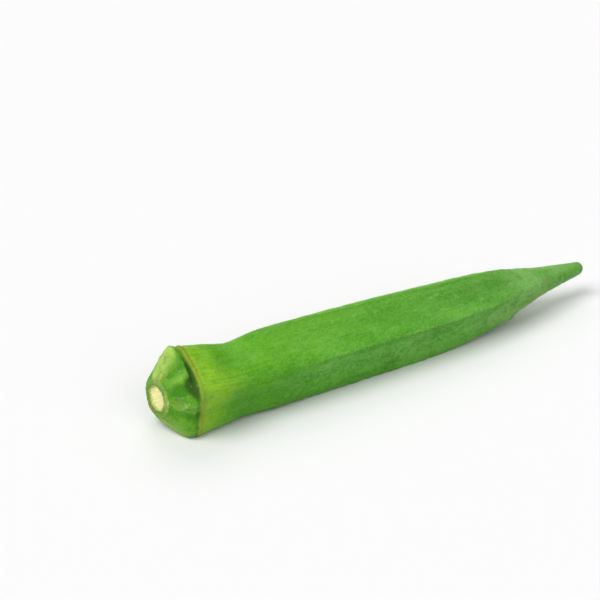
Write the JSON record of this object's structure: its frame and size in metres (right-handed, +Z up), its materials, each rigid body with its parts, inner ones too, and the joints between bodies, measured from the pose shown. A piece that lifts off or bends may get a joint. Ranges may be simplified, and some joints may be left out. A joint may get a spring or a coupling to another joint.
{
  "type": "okra pod",
  "caption": "Fresh green okra pod lying on its side: ridged tapering capsule with a blunt beak, lobed cap with leaf scars, and a cut stem stub showing pale pith.",
  "frame": {"origin": "bottom centre of the bounding box, on the surface the pod lies on", "axes": "+X along the pod from the cut stem to the tip, +Z up, +Y across the pod"},
  "size_m": [0.1168, 0.02, 0.0197],
  "materials": {
    "pod_skin": "satin",
    "cut_pith": "matte",
    "pod_hairs": "matte"
  },
  "bodies": {
    "root": {"okra_pod": "pod_skin"}
  },
  "joints": []
}
